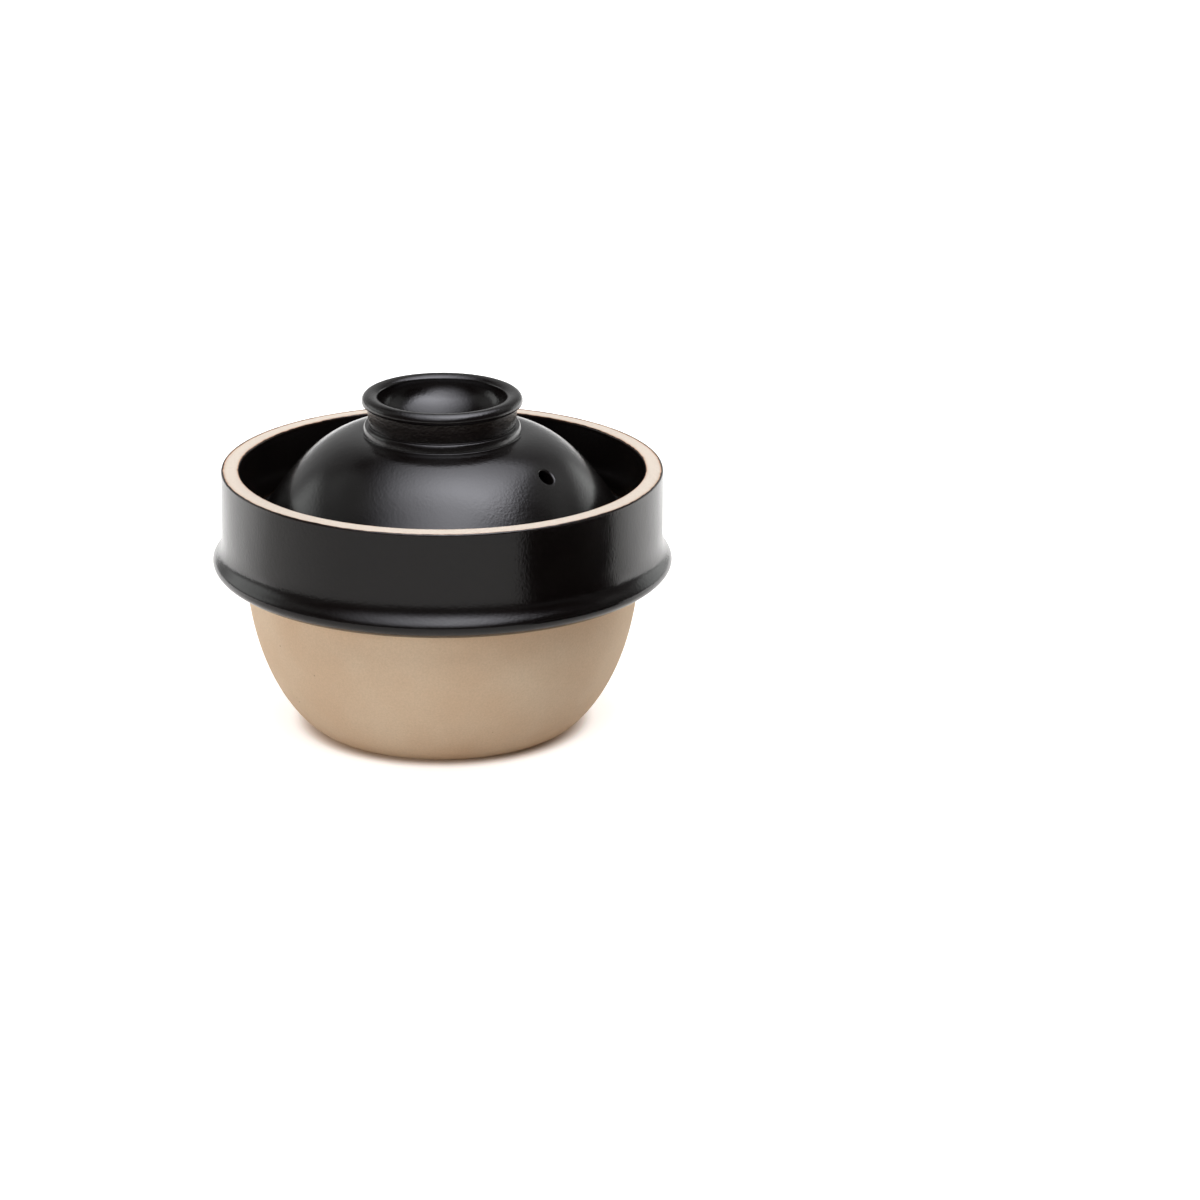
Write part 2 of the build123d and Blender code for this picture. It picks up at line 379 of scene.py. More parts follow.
stoneware, tree = new_material("bare_stoneware", CLAY)
place = add(tree, "ShaderNodeTexCoord").outputs["Object"]
blotch = add(tree, "ShaderNodeTexNoise", {"Scale": per_metre(BLOTCH_SIZE), "Detail": 4.0}, {"Vector": place})
grain = add(tree, "ShaderNodeTexNoise", {"Scale": per_metre(GRAIN_SIZE), "Detail": 3.0}, {"Vector": place})
blotch_share = add(
    tree, "ShaderNodeMapRange",
    {"From Min": BLOTCH_FADE[0], "From Max": BLOTCH_FADE[1]},
    {"Value": blotch.outputs["Fac"]},
)
body_colour = add(
    tree, "ShaderNodeMix",
    {"data_type": "RGBA", 6: linear(CLAY), 7: linear(CLAY_WARM)},
    {0: blotch_share.outputs["Result"]},
)
height = add(tree, "ShaderNodeSeparateXYZ", links={"Vector": place})
# Painted light: the top of the rim is blended towards the pale colour, for the light that falls on it.
rim_light_share = add(
    tree, "ShaderNodeMapRange",
    {
        "From Min": (POT_HEIGHT - RIM_LIGHT_BELOW_TOP[0]) * MM,
        "From Max": (POT_HEIGHT - RIM_LIGHT_BELOW_TOP[1]) * MM,
    },
    {"Value": height.outputs["Z"]},
)
rim_painted_light_colour = add(
    tree, "ShaderNodeMix",
    {"data_type": "RGBA", 7: linear(CLAY_PAINTED_RIM_LIGHT)},
    {0: rim_light_share.outputs["Result"], 6: body_colour.outputs[2]},
)
grain_share = add(
    tree, "ShaderNodeMapRange",
    {
        "From Min": NOISE_LOW,
        "From Max": NOISE_HIGH,
        "To Min": GRAIN_SHADES[0],
        "To Max": GRAIN_SHADES[1],
    },
    {"Value": grain.outputs["Fac"]},
)
grained = add(
    tree, "ShaderNodeVectorMath",
    {"operation": "SCALE"},
    {0: rim_painted_light_colour.outputs[2], "Scale": grain_share.outputs["Result"]},
)
cells = add(tree, "ShaderNodeTexVoronoi", {"Scale": per_metre(SPECK_SPACING)}, {"Vector": place})
speck_core = add(
    tree, "ShaderNodeMapRange",
    {"From Min": SPECK_EDGE[0], "From Max": SPECK_EDGE[1], "To Min": 1.0, "To Max": 0.0},
    {"Value": cells.outputs["Distance"]},
)
cell_random = add(tree, "ShaderNodeSeparateColor", links={"Color": cells.outputs["Color"]})
speck_choice = add(
    tree, "ShaderNodeMapRange",
    {"From Min": SPECK_CHOICE[0], "From Max": SPECK_CHOICE[1], "To Max": SPECK_DARKNESS},
    {"Value": cell_random.outputs["Red"]},
)
speck_share = add(
    tree, "ShaderNodeMath",
    {"operation": "MULTIPLY"},
    {0: speck_core.outputs["Result"], 1: speck_choice.outputs["Result"]},
)
specked = add(
    tree, "ShaderNodeMix",
    {"data_type": "RGBA", 7: linear(IRON_SPECK)},
    {0: speck_share.outputs["Value"], 6: grained.outputs["Vector"]},
)
scorch = add(tree, "ShaderNodeAttribute", {"attribute_name": "scorch"})
toasted = add(
    tree, "ShaderNodeMix",
    {"data_type": "RGBA", 7: linear(CLAY_TOASTED)},
    {0: scorch.outputs["Fac"], 6: specked.outputs[2]},
)
print("stoneware colour nodes", len(tree.nodes))

# %% [markdown]
# ## Touch of the stoneware
#
# The level lines of the trimming tool come from a noise that changes with height alone. The sandy
# grain lies on top of them, and both are only some hundredths of a millimetre deep.

# %% Surface of the stoneware
TRIM_LINE_SPACING = 1.1
TRIM_LINE_DEPTH = 0.04
TRIM_LINE_STRENGTH = 0.5
GRAIN_DEPTH = 0.06
GRAIN_STRENGTH = 0.6
CLAY_ROUGHNESS = (0.7, 0.88)
CLAY_IOR = 1.5

line_height = add(
    tree, "ShaderNodeMath",
    {"operation": "MULTIPLY", 1: per_metre(TRIM_LINE_SPACING)},
    {0: height.outputs["Z"]},
)
trim_lines = add(
    tree, "ShaderNodeTexNoise",
    {"noise_dimensions": "1D", "Scale": 1.0, "Detail": 2.0},
    {"W": line_height.outputs["Value"]},
)
trim_bump = add(
    tree, "ShaderNodeBump",
    {"Strength": TRIM_LINE_STRENGTH, "Distance": TRIM_LINE_DEPTH * MM},
    {"Height": trim_lines.outputs["Fac"]},
)
grain_bump = add(
    tree, "ShaderNodeBump",
    {"Strength": GRAIN_STRENGTH, "Distance": GRAIN_DEPTH * MM},
    {"Height": grain.outputs["Fac"], "Normal": trim_bump.outputs["Normal"]},
)
clay_roughness = add(
    tree, "ShaderNodeMapRange",
    {"To Min": CLAY_ROUGHNESS[0], "To Max": CLAY_ROUGHNESS[1]},
    {"Value": grain.outputs["Fac"]},
)
shader = add(
    tree, "ShaderNodeBsdfPrincipled",
    {"IOR": CLAY_IOR, "Metallic": 0.0},
    {
        "Base Color": toasted.outputs[2],
        "Roughness": clay_roughness.outputs["Result"],
        "Normal": grain_bump.outputs["Normal"],
    },
)
add(tree, "ShaderNodeOutputMaterial", links={"Surface": shader.outputs["BSDF"]})
print("stoneware nodes", len(tree.nodes))

# %% [markdown]
# ## Black glaze
#
# An iron glaze, fired until it melts and saturates to a brown so dark that it reads as black. Its
# colour hardly matters to the eye: what one sees is what it mirrors. It is glass, so it has an IOR of
# about 1.5 and mirrors only a few parts in a hundred face on. This one has a satin skin, with fine
# ripples like orange peel about a millimetre apart that break up the edges of its highlights, and
# slow swells left by the dipping. Where it thins at its own border it goes brown.

# %% Black glaze material
GLAZE = "#080606"
GLAZE_WARM = "#0E0A09"
GLAZE_THIN = "#3A2417"
GLAZE_BLOTCH = 22
PEEL_SIZE = 1.0
PEEL_DEPTH = 0.055
SWELL_SIZE = 9.0
SWELL_DEPTH = 0.06
GLAZE_ROUGHNESS = (0.17, 0.23)
GLAZE_IOR = 1.5

black_glaze, tree = new_material("black_iron_glaze", GLAZE)
place = add(tree, "ShaderNodeTexCoord").outputs["Object"]
blotch = add(tree, "ShaderNodeTexNoise", {"Scale": per_metre(GLAZE_BLOTCH), "Detail": 3.0}, {"Vector": place})
peel = add(tree, "ShaderNodeTexNoise", {"Scale": per_metre(PEEL_SIZE), "Detail": 2.0}, {"Vector": place})
swell = add(tree, "ShaderNodeTexNoise", {"Scale": per_metre(SWELL_SIZE), "Detail": 1.0}, {"Vector": place})
glaze_colour = add(
    tree, "ShaderNodeMix",
    {"data_type": "RGBA", 6: linear(GLAZE), 7: linear(GLAZE_WARM)},
    {0: blotch.outputs["Fac"]},
)
scorch = add(tree, "ShaderNodeAttribute", {"attribute_name": "scorch"})
thinned = add(
    tree, "ShaderNodeMix",
    {"data_type": "RGBA", 7: linear(GLAZE_THIN)},
    {0: scorch.outputs["Fac"], 6: glaze_colour.outputs[2]},
)
swell_bump = add(
    tree, "ShaderNodeBump",
    {"Strength": 1.0, "Distance": SWELL_DEPTH * MM},
    {"Height": swell.outputs["Fac"]},
)
peel_bump = add(
    tree, "ShaderNodeBump",
    {"Strength": 1.0, "Distance": PEEL_DEPTH * MM},
    {"Height": peel.outputs["Fac"], "Normal": swell_bump.outputs["Normal"]},
)
glaze_roughness = add(
    tree, "ShaderNodeMapRange",
    {
        "From Min": NOISE_LOW,
        "From Max": NOISE_HIGH,
        "To Min": GLAZE_ROUGHNESS[0],
        "To Max": GLAZE_ROUGHNESS[1],
    },
    {"Value": blotch.outputs["Fac"]},
)
shader = add(
    tree, "ShaderNodeBsdfPrincipled",
    {"IOR": GLAZE_IOR, "Metallic": 0.0},
    {
        "Base Color": thinned.outputs[2],
        "Roughness": glaze_roughness.outputs["Result"],
        "Normal": peel_bump.outputs["Normal"],
    },
)
add(tree, "ShaderNodeOutputMaterial", links={"Surface": shader.outputs["BSDF"]})
print("glaze nodes", len(tree.nodes))

# %% [markdown]
# ## Where the glaze ends
#
# The clay is dipped in glaze and wiped clean where the pot stands, on the rim, and where lid and pot
# lie on each other in the kiln. Glaze is thick: it ends in a small round roll, and its edge wanders
# a little. So the outline also knows its borders. Each ring of the mesh knows how far it is from the
# nearest border, counted as positive on the glaze. Rings are close together at borders and in tight
# bends, and wide apart on flat stretches.

# %% Outline with borders
TURN_PER_RING = 0.09
FINEST_RING = 0.06
WIDEST_RING = 1.8
RING_GROWTH = 0.25
BORDER_RING = 0.1


def section(stretches, borders, starts_glazed):
    """An outline with its normals, its distance from the glaze's borders and its rings."""
    points = even_outline(stretches)
    places = along(points)
    tangents = np.gradient(points, axis=0)
    tangents /= np.linalg.norm(tangents, axis=1)[:, None]
    heading_angle = np.unwrap(np.arctan2(tangents[:, 1], tangents[:, 0]))
    bend = np.abs(np.gradient(heading_angle, places))
    nearest = [int(np.argmin(np.linalg.norm(points - np.array(b), axis=1))) for b in borders]
    ends = np.sort(places[nearest])
    crossed = np.searchsorted(ends, places, side="right")
    glazed = (crossed % 2 == 0) == starts_glazed
    apart = np.min(np.abs(places[:, None] - ends[None, :]), axis=1)
    spacing = np.clip(TURN_PER_RING / np.maximum(bend, 1e-6), FINEST_RING, WIDEST_RING)
    spacing = np.minimum(spacing, BORDER_RING + RING_GROWTH * apart)
    for order in (range(1, len(spacing)), range(len(spacing) - 2, -1, -1)):
        for i in order:
            before = i - 1 if order.step > 0 else i + 1
            spacing[i] = min(spacing[i], spacing[before] + RING_GROWTH * STEP)
    rings = [0.0]
    while rings[-1] < places[-1]:
        rings.append(rings[-1] + float(np.interp(rings[-1], places, spacing)))
    rings = np.array(rings) * places[-1] / rings[-1]
    for end in ends:
        rings[np.argmin(np.abs(rings - end))] = end
    side = np.where(glazed, 1, -1)
    return SimpleNamespace(points=points, places=places, rings=rings, distance=side * apart,
                           normals=np.stack([tangents[:, 1], -tangents[:, 0]], axis=1))


# %% [markdown]
# ## Spinning it
#
# The lathe takes a section and turns it about Z. Three small things are added on the way. The border
# wanders, by sliding the rings near it along the outline. The glaze stands a little proud beside its
# border and the bare clay stands back. And each point keeps how near it is to a border, so that the
# clay's material can be toasted there, as the kiln does. A spare point on the axis closes each end.

# %% Lathe
AROUND = 400
BORDER_WANDER = 0.16
WANDER_REACH = 1.3
ROLL_HEIGHT = 0.11
ROLL_PLACE = 0.55
ROLL_WIDTH = 0.45
CLAY_SETBACK = 0.1
SETBACK_REACH = 5.0
SCORCH_REACH = 0.32
WANDER_WAVES = (5, 9, 14, 23, 37, 58, 83, 110)
WANDER_STRENGTHS = (0.4, 1.0)
CLAY_SLOT = 0
GLAZE_SLOT = 1
randoms = np.random.default_rng(11)


def wander(angles):
    """A smooth random wave round the pot, about one high."""
    total = np.zeros_like(angles)
    for waves in WANDER_WAVES:
        phase = randoms.uniform(0, math.tau)
        total += np.sin(waves * angles + phase) * randoms.uniform(*WANDER_STRENGTHS)
    return total / math.sqrt(len(WANDER_WAVES))


def glaze_height(distance):
    """How far the surface stands out at a distance from the border, positive on the glaze."""
    roll = ROLL_HEIGHT * np.exp(-((distance - ROLL_PLACE) / ROLL_WIDTH) ** 2)
    back = -CLAY_SETBACK * np.exp(-(distance / SETBACK_REACH) ** 2)
    step = np.clip(distance / (2 * BORDER_RING) + 0.5, 0, 1)
    return np.where(distance > -BORDER_RING, roll * step + back * (1 - step), back)


def spin(name, cut, around=AROUND):
    """A closed mesh of the section turned about Z, with a clay and a glaze material slot."""
    angles = np.linspace(0, math.tau, around, endpoint=False)
    distance = np.interp(cut.rings, cut.places, cut.distance)
    lift = glaze_height(distance)
    slide = BORDER_WANDER * np.exp(-(distance / WANDER_REACH) ** 2)[:, None] * wander(angles)[None, :]
    places = cut.rings[:, None] + slide
    radius, height, out, up = (
        np.interp(places, cut.places, values)
        for values in (cut.points[:, 0], cut.points[:, 1], cut.normals[:, 0], cut.normals[:, 1])
    )
    radius = radius + out * lift[:, None]
    height = height + up * lift[:, None]
    grid = np.stack([radius * np.cos(angles), radius * np.sin(angles), height], axis=2)[1:-1]
    rows = len(grid)
    tips = [(0, 0, cut.points[0, 1]), (0, 0, cut.points[-1, 1])]
    vertices = np.vstack([grid.reshape(-1, 3), tips]) * MM
    first_tip = rows * around
    last_tip = first_tip + 1
    column = np.arange(around)
    after = (column + 1) % around
    row = np.arange(rows - 1)[:, None] * around
    quads = np.stack([row + column, row + after, row + around + after, row + around + column], axis=2)
    faces = [(first_tip, int(b), int(a)) for a, b in zip(column, after)]
    faces += [tuple(face) for face in quads.reshape(-1, 4).tolist()]
    end_row = (rows - 1) * around
    faces += [(last_tip, int(end_row + a), int(end_row + b)) for a, b in zip(column, after)]
    mesh = bpy.data.meshes.new(name)
    mesh.from_pydata(vertices.tolist(), [], faces)
    mesh.materials.append(stoneware)
    mesh.materials.append(black_glaze)
    middle = (cut.rings[:-1] + cut.rings[1:]) / 2
    strip_slot = np.where(np.interp(middle, cut.places, cut.distance) > 0, GLAZE_SLOT, CLAY_SLOT)
    slots = np.repeat(strip_slot, around).astype(np.int32)
    mesh.polygons.foreach_set("material_index", slots)
    scorch = np.exp(-np.abs(distance) / SCORCH_REACH)
    values = np.concatenate([np.repeat(scorch[1:-1], around), [0, 0]]).astype(np.float32)
    mesh.attributes.new("scorch", "FLOAT", "POINT").data.foreach_set("value", values)
    mesh.shade_smooth()
    mesh.update()
    made = bpy.data.objects.new(name, mesh)
    bpy.context.scene.collection.objects.link(made)
    print(name, len(mesh.vertices), "vertices,", rows, "rings")
    return made


# %% [markdown]
# ## Pot and lid
#
# The glaze of the pot has two parts: one from the flange's lower edge over the collar to the outer
# edge of the rim, and one that lines the inside. The rim between them is bare. The ledge and the flat
# seat of the lid are bare as well, because the two are fired together and glaze would weld them.

# %% Pot and lid
GLAZE_AT_FLANGE = 0.9
RIM_BORDER_INSIDE = 0.25
LEDGE_MARGIN = 0.6

pot_borders = [
    (flange_under[0] + GLAZE_AT_FLANGE, FLANGE_BOTTOM),
    rim_outer,
    (well_radius + RIM_BORDER_INSIDE, POT_HEIGHT - RIM_BORDER_INSIDE),
    (ledge_outer[0] - LEDGE_MARGIN, LEDGE_HEIGHT),
    (ledge_inner[0] + LEDGE_MARGIN, LEDGE_HEIGHT),
]
pot_section = section(pot_stretches, pot_borders, starts_glazed=False)
pot_piece = spin("donabe_pot", pot_section)

lid_borders = [(seat_inner[0] + LEDGE_MARGIN, seat_inner[1]), (lid_radius, brim_low[1])]
lid_section = section(lid_stretches, lid_borders, starts_glazed=True)
lid_piece = spin("donabe_lid", lid_section)

# %% [markdown]
# ## The steam vent
#
# A hole through the dome lets the steam out. It is pierced square to the surface while the clay is
# soft and its mouth is rounded with a wet finger, so the glaze runs smoothly into it. A Boolean cuts
# it here, with a spun cutter that flares at the surface. The cutter has a face on the flare at every
# few degrees, so the edge that it leaves is as fine as the dome's own mesh.

# %% Vent
VENT_DIAMETER = 6.0
VENT_FLARE = 1.0
VENT_CURVE_SHARE = 0.434
VENT_AZIMUTH = -38.7
VENT_SIDES = 96
OVERRUN = 5.0

dome = curve(crown, flank_foot, DOME_SHARES)
dome_places = along(dome)
vent_at = VENT_CURVE_SHARE * dome_places[-1]
vent_radius, vent_height = (float(np.interp(vent_at, dome_places, dome[:, axis])) for axis in (0, 1))
slope = np.gradient(dome, axis=0)[int(np.searchsorted(dome_places, vent_at))]
slope = slope / np.linalg.norm(slope)
bore_radius = VENT_DIAMETER / 2
flare_radius = bore_radius + VENT_FLARE
bore_depth = LID_WALL + OVERRUN
cutter_section = section(
    [
        straight((0, -bore_depth), (bore_radius, -bore_depth)),
        straight((bore_radius, -bore_depth), (bore_radius, -VENT_FLARE)),
        curve((bore_radius, -VENT_FLARE), (flare_radius, 0), UP_THEN_OUT_SHARES),
        straight((flare_radius, 0), (flare_radius, OVERRUN)),
        straight((flare_radius, OVERRUN), (0, OVERRUN)),
    ],
    borders=[(0, -bore_depth)],
    starts_glazed=False,
)
cutter_section.distance[:] = OVERRUN
cutter = spin("vent_cutter", cutter_section, around=VENT_SIDES)
outward = Vector((-slope[1], 0, slope[0])) * (1 if slope[0] > 0 else -1)
aim = outward.to_track_quat("Z", "Y").to_matrix().to_4x4()
turn = Matrix.Rotation(math.radians(VENT_AZIMUTH), 4, "Z")
cutter.matrix_world = turn @ Matrix.Translation(Vector((vent_radius, 0, vent_height)) * MM) @ aim
vent_cut = lid_piece.modifiers.new("vent", "BOOLEAN")
vent_cut.operation = "DIFFERENCE"
vent_cut.solver = "EXACT"
vent_cut.object = cutter
bpy.context.view_layer.update()
evaluated_lid = lid_piece.evaluated_get(bpy.context.evaluated_depsgraph_get())
pierced = bpy.data.meshes.new_from_object(evaluated_lid)
lid_piece.modifiers.clear()
lid_piece.data = pierced
bpy.data.objects.remove(cutter)
print("vent at radius", round(vent_radius, 2), "height", round(vent_height, 2), "mm")

# %% [markdown]
# ## Dressing the frame
#
# Each piece rides on its body and stands for its CAD node. MuJoCo keeps the node for collision, and
# the lid comes along when the joint lifts it.

# %% Pieces on their bodies
for piece, body in ((pot_piece, "pot"), (lid_piece, "lid")):
    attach(piece, body)
    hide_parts(body)
    print(piece.name, "rides on", body, "with", len(piece.data.polygons), "faces")

# %% [markdown]
# ## The floor
#
# A plain pale floor, painted greyer in front of the pot than behind it as painted light and shade,
# because more light falls on it from behind. Round the foot it is a little warmer, for the light that
# the clay throws on it. It ends in front of the pot, where the studio in the photograph is dark.

# %% Floor
FLOOR_REACH = 6.0
FLOOR_FRONT = 0.9
# The grey and pale floor colours are painted light and shade: paler behind, where more light falls.
FLOOR_PAINTED_SHADE = "#C4C3C2"
FLOOR_PAINTED_LIGHT = "#E8E6E4"
FLOOR_BESIDE_CLAY = "#DAC6B3"
CLAY_GLOW_FROM = 0.046
CLAY_GLOW_TO = 0.07
PAINTED_SHADE_TO = -0.22
PAINTED_LIGHT_FROM = 0.02

floor_mesh = bpy.data.meshes.new("floor")
floor_corners = [
    (-FLOOR_REACH, -FLOOR_FRONT, 0),
    (FLOOR_REACH, -FLOOR_FRONT, 0),
    (FLOOR_REACH, FLOOR_REACH, 0),
    (-FLOOR_REACH, FLOOR_REACH, 0),
]
floor_mesh.from_pydata(floor_corners, [], [(0, 1, 2, 3)])
floor = bpy.data.objects.new("floor", floor_mesh)
bpy.context.scene.collection.objects.link(floor)
floor_material, tree = new_material("studio_floor", FLOOR_PAINTED_SHADE)
floor_place = add(tree, "ShaderNodeTexCoord").outputs["Object"]
floor_y = add(tree, "ShaderNodeSeparateXYZ", links={"Vector": floor_place}).outputs["Y"]
# Painted light and shade: grey in front of the pot, pale behind it.
backlight_share = add(
    tree, "ShaderNodeMapRange",
    {"From Min": PAINTED_SHADE_TO, "From Max": PAINTED_LIGHT_FROM},
    {"Value": floor_y},
)
floor_painted_light = add(
    tree, "ShaderNodeMix",
    {"data_type": "RGBA", 6: linear(FLOOR_PAINTED_SHADE), 7: linear(FLOOR_PAINTED_LIGHT)},
    {0: backlight_share.outputs["Result"]},
)
from_pot = add(tree, "ShaderNodeVectorMath", {"operation": "LENGTH"}, {0: floor_place})
beside_clay = add(
    tree, "ShaderNodeMapRange",
    {"From Min": CLAY_GLOW_FROM, "From Max": CLAY_GLOW_TO, "To Min": 1.0, "To Max": 0.0},
    {"Value": from_pot.outputs["Value"]},
)
warmed = add(
    tree, "ShaderNodeMix",
    {"data_type": "RGBA", 7: linear(FLOOR_BESIDE_CLAY)},
    {0: beside_clay.outputs["Result"], 6: floor_painted_light.outputs[2]},
)
matt = add(tree, "ShaderNodeBsdfDiffuse", links={"Color": warmed.outputs[2]})
floor_mesh.materials.append(floor_material)
print("floor reaches", FLOOR_REACH, "m to three sides and", FLOOR_FRONT, "m to the front")

# %% [markdown]
# ## White without more light
#
# The photograph's floor is pure white, with only a soft shadow round the foot. More light would bleach
# the clay, so the floor keeps its own grey for every bounce that lights the pot. Only what the camera
# sees straight on is lifted to white, and behind the pot also what the glaze mirrors, because the
# shiny collar shows that white paper at its left and right edges. Close round the foot nothing is
# lifted, so the shadow stays.

# %% Floor lifted to white
FOOT_LIFT = 0.64
FOOT_LIFT_FROM = 0.0485
FOOT_LIFT_TO = 0.0575
FAR_LIFT = 0.36
FAR_LIFT_FROM = 0.1
FAR_LIFT_TO = 0.6
MIRRORED_FROM = -0.03
MIRRORED_TO = 0.12

path = add(tree, "ShaderNodeLightPath")
foot_lift = add(
    tree, "ShaderNodeMapRange",
    {
        "interpolation_type": "SMOOTHSTEP",
        "From Min": FOOT_LIFT_FROM,
        "From Max": FOOT_LIFT_TO,
        "To Max": FOOT_LIFT,
    },
    {"Value": from_pot.outputs["Value"]},
)
far_lift = add(
    tree, "ShaderNodeMapRange",
    {"From Min": FAR_LIFT_FROM, "From Max": FAR_LIFT_TO, "To Max": FAR_LIFT},
    {"Value": from_pot.outputs["Value"]},
)
lift_here = add(
    tree, "ShaderNodeMath",
    {"operation": "ADD"},
    {0: foot_lift.outputs["Result"], 1: far_lift.outputs["Result"]},
)
behind = add(
    tree, "ShaderNodeMapRange",
    {"interpolation_type": "SMOOTHSTEP", "From Min": MIRRORED_FROM, "From Max": MIRRORED_TO},
    {"Value": floor_y},
)
mirrored_behind = add(
    tree, "ShaderNodeMath",
    {"operation": "MULTIPLY"},
    {0: path.outputs["Is Glossy Ray"], 1: behind.outputs["Result"]},
)
lifted_rays = add(
    tree, "ShaderNodeMath",
    {"operation": "ADD"},
    {0: path.outputs["Is Camera Ray"], 1: mirrored_behind.outputs["Value"]},
)
lift = add(
    tree, "ShaderNodeMath",
    {"operation": "MULTIPLY"},
    {0: lifted_rays.outputs["Value"], 1: lift_here.outputs["Value"]},
)
glow = add(tree, "ShaderNodeEmission", links={"Strength": lift.outputs["Value"]})
both = add(tree, "ShaderNodeAddShader", links={0: matt.outputs["BSDF"], 1: glow.outputs["Emission"]})
add(tree, "ShaderNodeOutputMaterial", links={"Surface": both.outputs["Shader"]})
print("floor nodes", len(tree.nodes))

# %% [markdown]
# ## The lamps
#
# One large soft lamp hangs over the table, a little to the front, and a weaker one fills the front
# from the left. Two more stand behind at both sides, so that the clay grows paler towards its edges,
# as it does in the photograph. They light the clay and the floor, and mirror rays don't see them. A
# lamp's power is worked out from the light that should arrive: on a surface that faces it, a
# strength of 1 makes a colour come out as it is written.

# %% Lamps
KEY = {"azimuth": 8, "elevation": 66, "distance": 2.2, "size": 1.5, "arriving": 0.72}
FILL = {"azimuth": -38, "elevation": 14, "distance": 2.6, "size": 1.6, "arriving": 0.46}
BACK_LEFT = {"azimuth": -128, "elevation": 16, "distance": 2.4, "size": 1.2, "arriving": 0.38}
BACK_RIGHT = {"azimuth": 128, "elevation": 16, "distance": 2.4, "size": 1.2, "arriving": 0.52}


def direction(azimuth, elevation):
    """A unit vector: azimuth 0 is towards the viewer and turns to the right, elevation is up."""
    a = math.radians(azimuth)
    e = math.radians(elevation)
    return Vector((math.sin(a) * math.cos(e), -math.cos(a) * math.cos(e), math.sin(e)))


def soft_lamp(name, azimuth, elevation, distance, size, arriving):
    """A square lamp that faces the pot from this direction. Mirror rays don't see it."""
    data = bpy.data.lights.new(name, "AREA")
    data.shape = "SQUARE"
    data.size = size
    data.energy = arriving * math.pi ** 2 * distance ** 2
    lamp = bpy.data.objects.new(name, data)
    bpy.context.scene.collection.objects.link(lamp)
    towards = direction(azimuth, elevation)
    lamp.location = towards * distance
    lamp.rotation_euler = towards.to_track_quat("Z", "Y").to_euler()
    lamp.visible_glossy = False
    lamp.visible_camera = False
    return lamp


LAMPS = (
    ("key_lamp", KEY),
    ("fill_lamp", FILL),
    ("back_left_lamp", BACK_LEFT),
    ("back_right_lamp", BACK_RIGHT),
)
for name, settings in LAMPS:
    lamp = soft_lamp(name, **settings)
    print(name, round(lamp.data.energy, 1), "W")

# %% [markdown]
# ## What the glaze mirrors
#
# A studio photographer builds the highlights on black glaze from cards and cloth, not from the lamps.
# Only mirror rays see the sheet and the cards here, so that their brightness doesn't bleach the clay.

# %% Card helper
def stage_quad(name, corners, material):
    """A four-cornered stage card that only mirror rays see."""
    mesh = bpy.data.meshes.new(name)
    mesh.from_pydata(corners, [], [(0, 1, 2, 3)])
    mesh.materials.append(material)
    made = bpy.data.objects.new(name, mesh)
    bpy.context.scene.collection.objects.link(made)
    made.visible_camera = False
    made.visible_shadow = False
    made.visible_diffuse = False
    print(name, "set up")
    return made


# %% [markdown]
# ## The diffusing sheet
#
# A long diffusing sheet leans over the pot. It is brightest along one level line and fades up, down
# and to the left, and its right edge slants, which draws the soft bright patch on the dome and in the
# dish of the knob. How its brightness rises and falls was worked out backwards: each point of the
# dome mirrors one part of the sheet, so the highlight in the photograph tells how bright each height
# of the sheet has to be.

# %% Pattern of the sheet
SHEET_DISTANCE = 1.2
SHEET_LEFT = -1.0
SHEET_RIGHT = 4.0
SHEET_FOOT = -0.8
SHEET_TOP = 4.2
SHEET_STRENGTH = 7.2
SHEET_COLOUR = (0.97, 0.975, 1.05, 1.0)
LEFT_FADE = (-0.6, 0.45)
EDGE_AT_FOOT = 0.66
EDGE_SPREAD = 0.71
EDGE_BEND = 0.75
EDGE_SOFTNESS = 0.4
BRIGHTNESS_UP_SHEET = (
    (-0.8, 0.0), (-0.7, 0.035), (-0.4, 0.18), (-0.2, 0.42), (0.0, 0.68), (0.15, 0.67), (0.3, 0.86),
    (0.45, 1.0), (0.6, 0.87), (0.9, 0.68), (1.2, 0.5), (1.9, 0.33), (3.8, 0.16), (4.2, 0.0),
)

sheet_material, tree = new_material("diffusing_sheet", "#FFFFFF")
sheet_shares = add(
    tree, "ShaderNodeVectorMath",
    {"operation": "SCALE", "Scale": 1 / SHEET_DISTANCE},
    {0: add(tree, "ShaderNodeTexCoord").outputs["Object"]},
)
sheet_place = add(tree, "ShaderNodeSeparateXYZ", links={"Vector": sheet_shares.outputs["Vector"]})
from_left = add(
    tree, "ShaderNodeMapRange",
    {"interpolation_type": "SMOOTHSTEP", "From Min": LEFT_FADE[0], "From Max": LEFT_FADE[1]},
    {"Value": sheet_place.outputs["X"]},
)
above_foot = add(tree, "ShaderNodeMath", {"operation": "MAXIMUM", 1: 0.0}, {0: sheet_place.outputs["Y"]})
bent = add(tree, "ShaderNodeMath", {"operation": "POWER", 1: EDGE_BEND}, {0: above_foot.outputs["Value"]})
edge = add(
    tree, "ShaderNodeMath",
    {"operation": "MULTIPLY_ADD", 1: EDGE_SPREAD, 2: EDGE_AT_FOOT},
    {0: bent.outputs["Value"]},
)
past_edge = add(
    tree, "ShaderNodeMath",
    {"operation": "SUBTRACT"},
    {0: sheet_place.outputs["X"], 1: edge.outputs["Value"]},
)
inside_edge = add(
    tree, "ShaderNodeMapRange",
    {
        "interpolation_type": "SMOOTHSTEP",
        "From Min": -EDGE_SOFTNESS,
        "From Max": EDGE_SOFTNESS,
        "To Min": 1.0,
        "To Max": 0.0,
    },
    {"Value": past_edge.outputs["Value"]},
)
